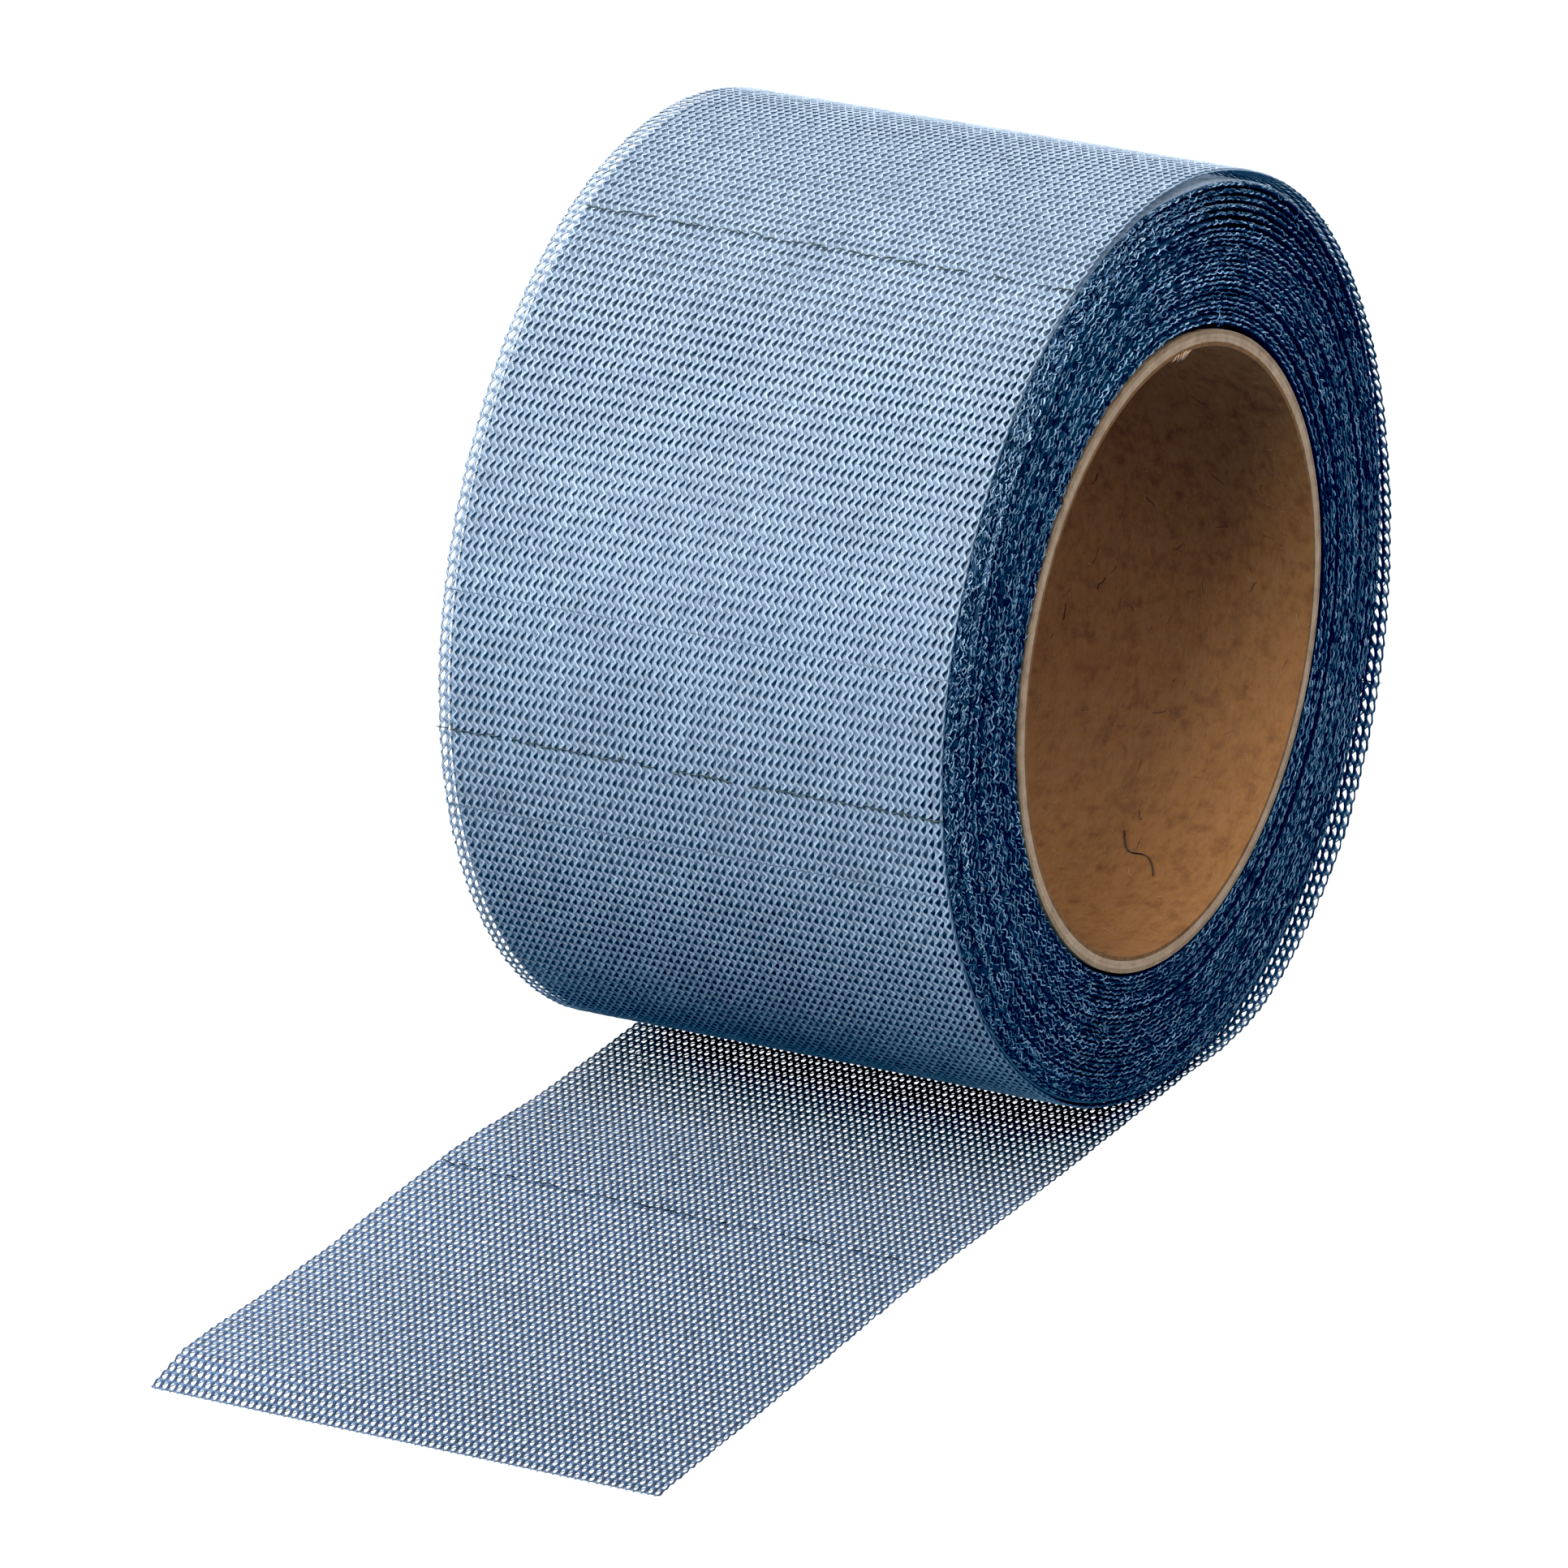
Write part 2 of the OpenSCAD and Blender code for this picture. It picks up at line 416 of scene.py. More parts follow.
def kraft_material(name, base, dark, light, stretch=(1, 1, 1), grain=0.6):
    """Paperboard: soft mottling, long fine fibres, pale and dark specks."""
    surface = Surface(name)
    mottle = surface.noise(surface.mapped(), scale=420, detail=5, rough=0.62, distort=0.2)
    colour = surface.ramp(mottle, (0.28, dark), (0.5, base), (0.74, light))
    place = surface.mapped(stretch)
    fibres = surface.noise(place, scale=620, detail=4, rough=0.7, distort=0.6)
    shade = surface.ramp(fibres, (0.30, (0.80,) * 3), (0.52, (1.0,) * 3), (0.72, (1.12,) * 3))
    colour = surface.mix(grain, colour, shade, "MULTIPLY")
    colour = specks(surface, colour, place, scale=1900, start=0.66, full=0.72,
                    amount=0.45, colour=tuple(value * 0.55 for value in dark))
    colour = specks(surface, colour, surface.mapped(stretch, (0.5, 1.1, 0.3)), scale=1500,
                    start=0.68, full=0.75, amount=0.35,
                    colour=tuple(min(1, value * 1.5) for value in light))
    rough = surface.math("MULTIPLY_ADD", fibres, 0.25, 0.68)
    fibre_bump = surface.bump(fibres, strength=0.35, depth=0.06)
    return surface.finish(
        Base_Color=colour,
        Roughness=rough,
        Specular_IOR_Level=0.25,
        Normal=surface.bump(mottle, strength=0.25, depth=0.15, Normal=fibre_bump))


def two_tone_material(name, dark, light, scale=1800, grain=0.6, rough=0.8, sheen=0.1,
                      strength=0.4, depth=0.03):
    """Two shades mingled by one noise, which also makes the bumps."""
    surface = Surface(name)
    noise = surface.noise(surface.mapped(), scale=scale, detail=3, rough=grain)
    return surface.finish(
        Base_Color=surface.ramp(noise, (0.3, dark), (0.7, light)),
        Roughness=rough,
        Sheen_Weight=sheen,
        Normal=surface.bump(noise, strength=strength, depth=depth))


NET = yarn_material("net_yarn", cloud=0.17)
TURN_YARN = yarn_material("turn_edge_yarn", cloud=0.18, rough=0.8, sheen=0.12)
LOOSE_YARN = yarn_material("loose_yarn", cloud=0.12, rough=0.7, sheen=0.2)

BORE = kraft_material("kraft_bore", base=srgb(152, 106, 60), dark=srgb(126, 86, 50),
                      light=srgb(152, 110, 69), stretch=(1, 2.4, 1), grain=1.0)
WALL = kraft_material("kraft_wall", base=srgb(208, 170, 136), dark=srgb(186, 148, 114),
                      light=srgb(222, 188, 154))
OUTER_PLY = kraft_material("kraft_outer", base=srgb(180, 146, 110), dark=srgb(156, 124, 92),
                           light=srgb(198, 166, 130))

TEAR = two_tone_material("tear_fibre", srgb(34, 44, 44), srgb(74, 84, 74))
TEAR_DARK = two_tone_material("tear_fibre_dark", srgb(14, 20, 36), srgb(34, 44, 62))
KRAFT_FIBRE = two_tone_material("kraft_fibre", srgb(176, 136, 94), srgb(204, 166, 122))
KRAFT_DARK = two_tone_material("kraft_fibre_dark", srgb(84, 56, 34), srgb(112, 78, 50))
HAIR = two_tone_material("hair", srgb(30, 24, 22), srgb(52, 42, 36), rough=0.5)


# ---------------------------------------------------------------- the net
def linear_colour(*channels):
    return np.array(srgb(*channels))


def mixed(first, second, share):
    """Colour a share of the way from the first to the second."""
    return first * (1 - share) + second * share


LIGHT_HIGHLIGHT = linear_colour(194, 210, 226)                  # painted highlight on the crest of the looped threads
LIGHT_MID = linear_colour(180, 198, 216)
# painted shade on the rims of the holes, light face
LIGHT_RIM_SHADE = linear_colour(147, 170, 195)
NAVY = linear_colour(25, 49, 86)
# painted highlight along the dark face's thread lines
NAVY_HIGHLIGHT = linear_colour(70, 102, 142)
NAVY_LOW = linear_colour(14, 32, 66)
# the turn under the last one: painted highlight, plain colour, painted shade
UNDER_HIGHLIGHT = linear_colour(190, 208, 226)
UNDER_MID = linear_colour(174, 194, 213)
UNDER_SHADE = linear_colour(144, 168, 194)
HOLLOW_SHADE = linear_colour(98, 126, 158)                         # painted shade in the hollow beside the zigzag thread
BRIDGE_HIGHLIGHT = linear_colour(114, 145, 180)                      # painted highlight on the bridge between two holes, dark face
THROUGH = linear_colour(116, 148, 180)                     # dark face where light comes through

COLUMNS = 6                                      # mesh columns to a course
HOLE_LENGTH, HOLE_HEIGHT, HOLE_SLANT = 0.80, 0.305, 0.24         # halves, and slope
# Mesh columns at places -3 to 2 in a course are drawn towards the hole's ends, in courses
COLUMN_SHIFT = np.array([0.0, -0.095, -0.070, 0.0, 0.070, 0.095])
# By steps from the middle of the hole, 0 to 3: depth of the hollow, which also sets its painted
# shade, and share of the bridges' painted highlight
HOLLOW = np.array([0.0, 0.40, 0.95, 1.0])
BRIDGE_SHARE = np.array([0.0, 0.0, 0.55, 1.0])
# The zigzag thread by place in a course: mm along, share of a wale across, half width
ZIGZAG = np.array(((-0.833, -0.01, 0.20), (-0.70, -0.10, 0.21), (-0.30, 0.20, 0.15),
                   (0.10, 0.50, 0.12), (0.50, 0.22, 0.16)))
# The three corners of the zigzag thread's section: across, up, offset in the map
THREAD_RING = ((0.0, 0.9, 0.0), (0.95, -0.5, 0.0011), (-0.95, -0.5, -0.0011))

# Thread rows of a mesh column: on the light face five to a wale (line, beside the hole, hole's
# far side, hole's near side, beside the hole), on the dark face three, and a last line on each.
LIGHT_ROWS = 5 * WALES + 1
DARK_ROWS = 3 * WALES + 1
ROWS = LIGHT_ROWS + DARK_ROWS


def wale_lines(margin):
    """Thread lines between the wales, from the far edge to the near edge, and their pitch."""
    lines = np.linspace(HALF - margin, -HALF + margin, WALES + 1)
    return lines, lines[0] - lines[1]


def loop_noise(course):
    """Eight random values for each course and wale, however the strip is cut into pieces."""
    number = np.floor(course + 0.5 + 1e-6).astype(int)
    first = number.min()
    table = [np.random.default_rng((7, i + 1000)).normal(0, 1, (WALES + 1, 8))
             for i in range(first, number.max() + 1)]
    return np.array(table)[number - first]


def net_wave(phase):
    return np.cos(2 * math.pi * (phase - 1.5) / COLUMNS)[:, None]


def net_relief(start, phase, noise):
    """Place across the strip and height towards the light face, by mesh column and row."""
    lines, pitch = wale_lines(0.16)
    wave = net_wave(phase)
    steps = np.abs(phase)[:, None]
    joint = steps == 3                           # between two holes
    soft = np.where(joint, 0.35, 1.0)            # the joins between courses move less
    hollow = HOLLOW[steps]
    x = (phase * COURSE / COLUMNS + COLUMN_SHIFT[phase + 3] * COURSE)[:, None]

    # slanted hole between thread lines
    centre = lines[None, :-1] - 0.5 * pitch + 0.015 * noise[:, :-1, 1] * soft
    growth = 1.0 + 0.07 * noise[:, :-1, 0]
    if start < FOOT_COURSE:                      # wider holes towards the tail's far edge
        growth = growth + 0.16 * farness(lines[None, :-1]) ** 2
    centre = centre + np.where(joint, 0.0, HOLE_SLANT * x)
    half = HOLE_HEIGHT * np.sqrt(np.clip(1 - (x / HOLE_LENGTH) ** 2, 0.05, 1)) * growth
    half = np.where(joint, 0.10, half)
    hole_far, hole_near = centre + half, centre - half

    # thread lines, kept clear of the holes
    thread = (lines[None] + wave * 0.10 * (1 + 0.2 * noise[:, :, 0])
              + 0.02 * noise[:, :, 1] * soft)
    thread[:, 1:-1] = np.clip(thread[:, 1:-1], hole_far[:, 1:] + 0.07, hole_near[:, :-1] - 0.07)
    beside_far = thread[:, :-1] * 0.55 + hole_far * 0.45
    beside_near = thread[:, 1:] * 0.55 + hole_near * 0.45

    across = np.empty((len(phase), ROWS))
    height = np.empty((len(phase), ROWS))
    across[:, 0:LIGHT_ROWS:5] = thread
    height[:, 0:LIGHT_ROWS:5] = (0.105 + 0.02 * noise[:, :, 2]) * (1 - 0.8 * hollow)
    rim = np.where(joint, 0.05, 0.045)
    light_rows = ((beside_far, 0.085), (hole_far, rim), (hole_near, rim), (beside_near, 0.085))
    for i, (row_across, row_height) in enumerate(light_rows, 1):
        across[:, i:LIGHT_ROWS:5] = row_across
        height[:, i:LIGHT_ROWS:5] = row_height

    dark_far, dark_near = hole_far - 0.015, hole_near + 0.015
    dark_line = np.empty((len(phase), WALES + 1))
    dark_line[:, 1:-1] = (dark_near[:, :-1] + dark_far[:, 1:]) / 2
    dark_line[:, 0] = thread[:, 0] + 0.02
    dark_line[:, -1] = thread[:, -1] - 0.02
    across[:, LIGHT_ROWS::3] = dark_line
    height[:, LIGHT_ROWS::3] = -0.100 - 0.015 * noise[:, :, 2] - 0.02 * wave
    for i, dark_rim in enumerate((dark_far, dark_near), 1):
        across[:, LIGHT_ROWS + i::3] = dark_rim
        height[:, LIGHT_ROWS + i::3] = -0.055 - 0.045 * joint

    # the strip's edges fray: the outermost thread wanders
    across[:, 0] += 0.04 * noise[:, 0, 3]
    across[:, LIGHT_ROWS - 1] += 0.04 * noise[:, -1, 3]
    return across, height


def net_colours(start, course, phase, across, noise):
    """Colour of the yarn by mesh column and row, with painted light and shade."""
    steps = np.abs(phase)
    hollow = HOLLOW[steps][:, None, None]
    colours = np.empty((len(phase), ROWS, 3))

    # light face: painted shade darkens the thread lines and the rows beside the holes as deep as
    # the knit dips into its hollows, and the holes' rims are painted darker towards a hole's
    # middle
    shade = (1 + 0.09 * noise[:, :, 5])[..., None]
    beside = LIGHT_MID * (1 - 0.68 * hollow) * shade[:, :-1]
    rim = mixed(LIGHT_RIM_SHADE, LIGHT_MID, hollow) * shade[:, :-1]
    colours[:, 0:LIGHT_ROWS:5] = mixed(LIGHT_MID, HOLLOW_SHADE, hollow) * shade
    for i, row_colour in enumerate((beside, rim, rim, beside), 1):
        colours[:, i:LIGHT_ROWS:5] = row_colour

    # dark face: a painted highlight grows along the thread lines with the wave, and the rows
    # beside the holes go from navy at a hole's middle to the bridges' painted highlight
    shade = (1 + 0.12 * noise[:, :, 6])[..., None]
    high = (0.22 + 0.22 * net_wave(phase))[..., None]
    bridge = mixed(NAVY_LOW, BRIDGE_HIGHLIGHT, BRIDGE_SHARE[steps][:, None, None]) * shade[:, :-1]
    colours[:, LIGHT_ROWS::3] = mixed(NAVY, NAVY_HIGHLIGHT, high) * shade
    colours[:, LIGHT_ROWS + 1::3] = bridge
    colours[:, LIGHT_ROWS + 2::3] = bridge

    dark_face = colours[:, LIGHT_ROWS:]
    dark_across = across[:, LIGHT_ROWS:]
    if start < FOOT_COURSE:                      # painted light: the tail's dark face is painted paler along its far edge, where light falls from the far side
        far_edge_light = (farness(dark_across) ** 2)[..., None]
        dark_face[:] = dark_face * (0.84 + 0.55 * far_edge_light) + 0.02 * far_edge_light
    if start < LIFT_COURSE:                      # tail and foot are a little darker all over, and painted shadow darkens them further towards the roll, where the roll shades them
        roll_shadow = smooth_step(FOOT_COURSE - 24, FOOT_COURSE - 4, course)
        colours *= (0.82 * (1 - 0.30 * roll_shadow))[:, None, None]
        roll_shadow = smooth_step(FOOT_COURSE - 16, FOOT_COURSE - 2, course)
        dark_face *= (1 - 0.60 * roll_shadow)[:, None, None]

    # the dark face is paler at the near edge over the top, where light comes through it
    angle = course_angle(course)
    over_top = smooth_step(46, 70, angle) * (1 - smooth_step(108, 124, angle))
    pale = over_top[:, None] * smooth_step(-HALF + 9, -HALF + 3, dark_across) * 0.8
    dark_face[:] = mixed(dark_face, THROUGH, pale[..., None])
    return colours


def net_faces(ids, phase):
    """Faces of the two sides, the holes' walls, the strip's edges and the cut ends."""
    open_column = (phase[:-1] >= -2) & (phase[:-1] <= 1)

    def side(rows, hole_rows, flip):
        """One side of the net, left open between the two rims of each hole."""
        faces = np.stack([ids[:-1][:, rows[:-1]], ids[1:][:, rows[:-1]],
                          ids[1:][:, rows[1:]], ids[:-1][:, rows[1:]]], -1)
        keep = np.ones(faces.shape[:2], bool)
        keep[np.ix_(open_column, hole_rows)] = False
        faces = faces[keep]
        return faces[:, ::-1] if flip else faces

    def wall(columns, light, dark, flip):
        """Wall along the strip between a light row and a dark row."""
        here, after = ids[columns], ids[columns + 1]
        return facets(here[:, light], after[:, light], after[:, dark], here[:, dark], flip=flip)

    wale = np.arange(WALES)
    far, near = 2 + 5 * wale, 3 + 5 * wale
    dark_far, dark_near = LIGHT_ROWS + 1 + 3 * wale, LIGHT_ROWS + 2 + 3 * wale
    hole = np.where(open_column)[0]
    faces = [side(np.arange(LIGHT_ROWS), far, False),
             side(np.arange(LIGHT_ROWS, ROWS), 1 + 3 * wale, True),
             wall(hole, far, dark_far, False),
             wall(hole, near, dark_near, True)]
    for place, flip in ((-2, True), (2, False)):         # the two ends of each hole
        column = ids[phase == place]
        faces.append(facets(column[:, far], column[:, near],
                            column[:, dark_near], column[:, dark_far], flip=flip))
    every = np.arange(len(ids) - 1)
    faces += [wall(every, [0], [LIGHT_ROWS], True),
              wall(every, [LIGHT_ROWS - 1], [ROWS - 1], False)]
    for cut, flip in ((0, False), (-1, True)):
        light = [ids[cut, 5 * wale + i] for i in range(6)]
        dark = [ids[cut, LIGHT_ROWS + 3 * wale + i] for i in range(4)]
        faces += [facets(*light[:3], dark[1], dark[0], flip=flip),
                  facets(light[2], light[3], dark[2], dark[1], flip=flip),
                  facets(*light[3:], dark[3], dark[2], flip=flip)]
    return faces


def zigzag_threads(start, end, first_id):
    """Zigzag threads on the light face, one to a wale: points, colours, uv and faces.

    Each runs beside a hole, then across the bridge after it."""
    lines, pitch = wale_lines(0.16)
    number = np.arange(int(round(end - start)) * 5 + 1)
    along, across, width = ZIGZAG[number % 5].T[:, :, None]
    course = start + 0.5 + number // 5 + along[:, 0] / COURSE
    course[0], course[-1] = start, end
    noise = loop_noise(course)[:, :-1]
    middle = lines[None, :-1] - 0.5 * pitch + across * pitch + 0.05 * noise[:, :, 4]
    height = 0.13 + 0.15 * (width - 0.12) + 0.015 * noise[:, :, 5]
    width = width * (1 + 0.10 * noise[:, :, 3]) * (0.62 if start < LIFT_COURSE else 1.0)
    shade = 1 + 0.09 * noise[:, :, 6:7]
    points = np.stack([on_strip(course, middle + width * out, height + 0.11 * up)
                       for out, up, _ in THREAD_RING], 2)
    # painted highlight on each thread's top corner; the two lower corners keep the plain thread
    # colour
    colours = np.stack([colour * shade for colour in (LIGHT_HIGHLIGHT, LIGHT_MID, LIGHT_MID)], 2)

    ids = first_id + np.arange(len(course) * WALES * 3).reshape(len(course), WALES, 3)
    map_u = np.broadcast_to(((course - start) / (end - start) * 0.5)[:, None, None], ids.shape)
    map_v = (((middle + HALF + 0.6) / (2 * HALF + 1.2))[:, :, None]
             + np.array([offset for _, _, offset in THREAD_RING]))
    uv = np.stack([map_u, map_v], -1)
    faces = []
    for i in range(3):
        j = (i + 1) % 3
        faces.append(facets(ids[:-1, :, i], ids[:-1, :, j], ids[1:, :, j], ids[1:, :, i]))
    faces += [ids[0][:, ::-1], ids[-1]]
    return points.reshape(-1, 3), colours.reshape(-1, 3), uv.reshape(-1, 2), faces


def net_piece(name, start, end):
    """A closed net mesh between two courses, both half-integers so it is cut between holes."""
    first, last = int(round(start * COLUMNS)), int(round(end * COLUMNS))
    column = np.arange(first, last + 1)
    phase = np.mod(column + 3, COLUMNS) - 3      # -3 to 2: 0 is the middle of a hole
    noise = loop_noise(column / COLUMNS)
    course = column / COLUMNS + COLUMN_SHIFT[phase + 3]
    across, height = net_relief(start, phase, noise)
    colours = net_colours(start, course, phase, across, noise).reshape(-1, 3)
    points = on_strip(course, across, height).reshape(-1, 3)
    faces = net_faces(np.arange(len(points)).reshape(-1, ROWS), phase)

    # the light face fills the left half of the map, the dark face the right half
    map_u = (column - first)[:, None] / (last - first) * 0.5
    map_v = (across + HALF + 0.6) / (2 * HALF + 1.2)
    light_uv, dark_uv = (
        np.stack([np.broadcast_to(map_u + offset, across.shape), map_v], -1).reshape(-1, 2)
        for offset in (0, 0.5))

    threads = zigzag_threads(start, end, len(points))
    piece = make_mesh(name, np.concatenate([points, threads[0]]), faces + threads[3], NET,
                      np.concatenate([light_uv, threads[2]]),
                      np.concatenate([colours, threads[1]]), own_uv={1: dark_uv})
    return piece


def blend_at(piece, course):
    """Bake a piece's transform into its mesh; the strip's path 2.9 courses either side of a
    course is read but not used.
    """
    x, z, _, _ = strip_path(np.array([course - 2.9, course + 2.9]))
    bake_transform(piece)


# A piece reaches from 4 courses before its bend course to 3 after it.
tail = []
for i in range(TAIL_PIECES):
    bend = FOOT_COURSE - PIECE * i
    start = bend - 4 if i < TAIL_PIECES - 1 else TIP_COURSE
    piece = net_piece("net_tail_%02d" % (i + 1), start, bend + 3)
    blend_at(piece, bend)
    tail.append(piece)

foot = net_piece("net_foot", FOOT_COURSE + 3, LIFT_COURSE)
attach(foot, "foot")

lap = []
for i in range(1, LAP_PIECES + 1):
    bend = LIFT_COURSE + PIECE * i
    piece = net_piece("net_lap_%02d" % i, LIFT_COURSE if i == 1 else bend - 4, bend + 3)
    blend_at(piece, bend)
    lap.append(piece)

TURN_PIECES = 12
cuts = np.floor(np.linspace(JOIN_COURSE + 3, END_COURSE, TURN_PIECES + 1)) + 0.5
cuts[0], cuts[-1] = JOIN_COURSE + 3, END_COURSE
for i in range(TURN_PIECES):
    piece = net_piece("net_turn_%d" % (i + 1), cuts[i], cuts[i + 1])
    add_to_roll(piece)

for i, piece in enumerate(tail, 1):
    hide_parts("tail_%02d" % i)
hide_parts("strip_foot")
for i, piece in enumerate(lap, 1):
    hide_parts("lap_%02d" % i)
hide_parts("outer_turn")

# ---------------------------------------------------------------- the turn under the last one
# How far the outermost wound turns stand off the tight ones: angle, mm
SWELL = ((0, 0.5), (30, 0.9), (60, 2.0), (78, 2.0), (105, 0.9), (140, 0.12), (220, 0.03),
         (262, 0.25), (300, 0.6), (340, 0.5), (360, 0.5))


def swell(angle, depth):
    """Slack of the outermost wound turns; depth counts turns inwards."""
    depth = np.asarray(depth, float)
    fade = np.clip(1 - (depth - 0.2) / 6, 0, 1)
    return look_up(SWELL, np.mod(angle, 360)) * smooth_step(0, 0.15, depth) * fade


def near_recess(angle, depth=0):
    """How far the near edges of the outermost wound turns stand back with the last turn."""
    return front_shift(angle, 77, 94) * np.clip(1 - depth / 3.4, 0, 1) ** 1.2


def under_turn(name, start_angle, end_angle, seed):
    """The turn seen through the last one's holes: the same knit in shallow relief."""
    first, last = course_at(start_angle), course_at(end_angle)
    count = int(round((last - first) * 4))       # four columns to a course
    column = np.arange(count + 1)
    course = first + column / 4
    angle = course_angle(course)
    depth = (angle - JOIN_ANGLE) / 360
    radius = np.minimum(turn_radius(angle) - 0.40,
                        WIND_R + 0.34 - 0.3 * depth + swell(angle, depth))
    noise = np.random.default_rng(seed).normal(0, 1, (count + 1, WALES + 1, 3))
    lines, pitch = wale_lines(0.2)
    wave = np.cos(2 * math.pi * (np.mod(column, 4) - 1) / 4)[:, None]
    thread = lines[None] + 0.15 * wave + 0.03 * noise[:, :, 0]
    middle_noise = 0.02 * noise[:, :-1, 1]
    dark_share = 0.5 * wave[..., None]

    # four rows to a wale: across, height, colour; the raised rows get the painted highlight and
    # the low rows between get painted shade, which stands in for holes
    rows = ((thread[:, :-1], 0.10, UNDER_HIGHLIGHT),
            (lines[:-1] - 0.27 * pitch + 0.06 * wave, -0.05 - 0.04 * wave,
             mixed(UNDER_MID, UNDER_SHADE, 0.5 + dark_share)),
            (lines[:-1] - 0.5 * pitch + middle_noise, 0.06 + middle_noise, UNDER_HIGHLIGHT * 0.96),
            (lines[:-1] - 0.74 * pitch + 0.06 * wave, -0.05 + 0.04 * wave,
             mixed(UNDER_MID, UNDER_SHADE, 0.5 - dark_share)))
    size = 4 * WALES + 1
    across, height = np.empty((2, count + 1, size))
    colours = np.empty((count + 1, size, 3))
    shade = (1 + 0.08 * noise[:, :-1, 2])[..., None]
    for i, (row_across, row_height, row_colour) in enumerate(rows):
        across[:, i:size - 1:4] = row_across
        height[:, i:size - 1:4] = row_height
        colours[:, i:size - 1:4] = row_colour * shade
    across[:, -1], height[:, -1] = thread[:, -1], 0.1
    colours[:, -1] = UNDER_HIGHLIGHT
    # painted shadow: darker towards the near edge, where the last turn above shades it
    colours *= (1 - 0.54 * smooth_step(-HALF + 4.5, -HALF + 1, across))[..., None]

    # the two turns' wales drift in and out of step; then fit the rows between the edges
    across[:, 1:-1] += 0.35 * np.sin(course * 0.045 + 0.6)[:, None]
    near = near_recess(angle)[:, None]
    low, high = across.min(1, keepdims=True), across.max(1, keepdims=True)
    fit_low = np.maximum(low, -HALF + 0.37 + near)
    fit_high = np.minimum(high, HALF - 0.12)
    across = fit_low + (across - low) * (fit_high - fit_low) / (high - low)
    across[:, 0] = HALF - 0.05
    across[:, -1] = -HALF + 0.30 + near[:, 0]

    # two more rows close the inner side
    inner = (radius - 0.14)[:, None]
    rim = np.concatenate([radius[:, None] + height, inner, inner], 1)
    across = np.concatenate([across, across[:, :1], across[:, -1:]], 1)
    back_colour = np.broadcast_to(UNDER_SHADE, (count + 1, 2, 3))
    colours = np.concatenate([colours, back_colour], 1)
    turned = np.radians(angle)[:, None]
    points = np.stack([rim * np.cos(turned), across, rim * np.sin(turned)], -1)

    ids = np.arange((count + 1) * (size + 2)).reshape(count + 1, size + 2)
    here, after = ids[:-1], ids[1:]
    faces = [facets(here[:, :size - 1], after[:, :size - 1], after[:, 1:size], here[:, 1:size]),
             facets(here[:, size], here[:, size + 1], after[:, size + 1], after[:, size]),
             facets(here[:, 0], here[:, size], after[:, size], after[:, 0]),
             facets(here[:, size - 1], after[:, size - 1], after[:, size + 1],
                    here[:, size + 1])]
    outline = np.concatenate([np.arange(size), [size + 1, size]])
    faces += [ids[0, outline][None, :], ids[-1, outline][None, ::-1]]
    map_u = np.broadcast_to((column / count)[:, None] * 0.96 + 0.02, across.shape)
    map_v = (across + HALF) / (2 * HALF) * 0.96 + 0.02
    return make_mesh(name, points.reshape(-1, 3), faces, TURN_YARN,
                     np.stack([map_u, map_v], -1).reshape(-1, 2), colours.reshape(-1, 3))


UNDER_CUTS = (JOIN_ANGLE + 1, 75.0, 165.0, 262.0, 318.0)
for i in range(4):
    piece = under_turn("net_under_%d" % (i + 1), UNDER_CUTS[i], UNDER_CUTS[i + 1], 300 + i)
    add_to_roll(piece)

# ---------------------------------------------------------------- the wound turns
END_LIGHT = linear_colour(176, 202, 222)
END_MID = linear_colour(74, 106, 142)
END_DARK = linear_colour(8, 20, 48)

# Turns whose edges lie deeper than the end face: turns inwards, mm deep
DIPS = ((1.1, 0.12), (2.6, 0.30), (4.3, 0.22), (6.2, 0.18), (9.4, 0.50), (10.6, 0.20),
        (14.5, 0.26), (19.1, 0.65), (20.3, 0.25), (23.2, 0.35))
WANDER_DEGREES = np.arange(0, TURNS * 360 + 49, 24)      # wound angle of each wander value

# Section of the wound ribbon, corner by corner: side (1 outer face, -1 inner face, in half
# thicknesses), end of the roll (-1 near, 1 far, 0 half way), bulge outwards, place in the map
RIBBON = ((+1.0, -1, -0.02, 0.02), (+0.35, -1, 0.22, 0.1), (-0.45, -1, 0.20, 0.18),
          (-1.0, -1, -0.10, 0.26), (-1.4, 0, 0, 0.38), (-1.0, +1, -0.10, 0.5),
          (-0.45, +1, 0.20, 0.58), (+0.35, +1, 0.22, 0.66), (+1.0, +1, -0.02, 0.74),
          (+1.4, 0, 0, 0.86))


def edge_wander(seed):
    """How far the turns' edges stand back from the end face, every 24 degrees."""
    depth = WANDER_DEGREES / 360
    wander = np.random.default_rng(seed).normal(0, 0.10, len(WANDER_DEGREES))
    for turn, deep in DIPS:
        wander = wander + deep * np.exp(-((depth - turn) / 0.45) ** 2)
    return wander - 0.05


WANDER = {-1: edge_wander(91), 1: edge_wander(92)}       # by end of the roll


def stand_back(depth, end):
    return np.interp(np.asarray(depth) * 360, WANDER_DEGREES, WANDER[end])


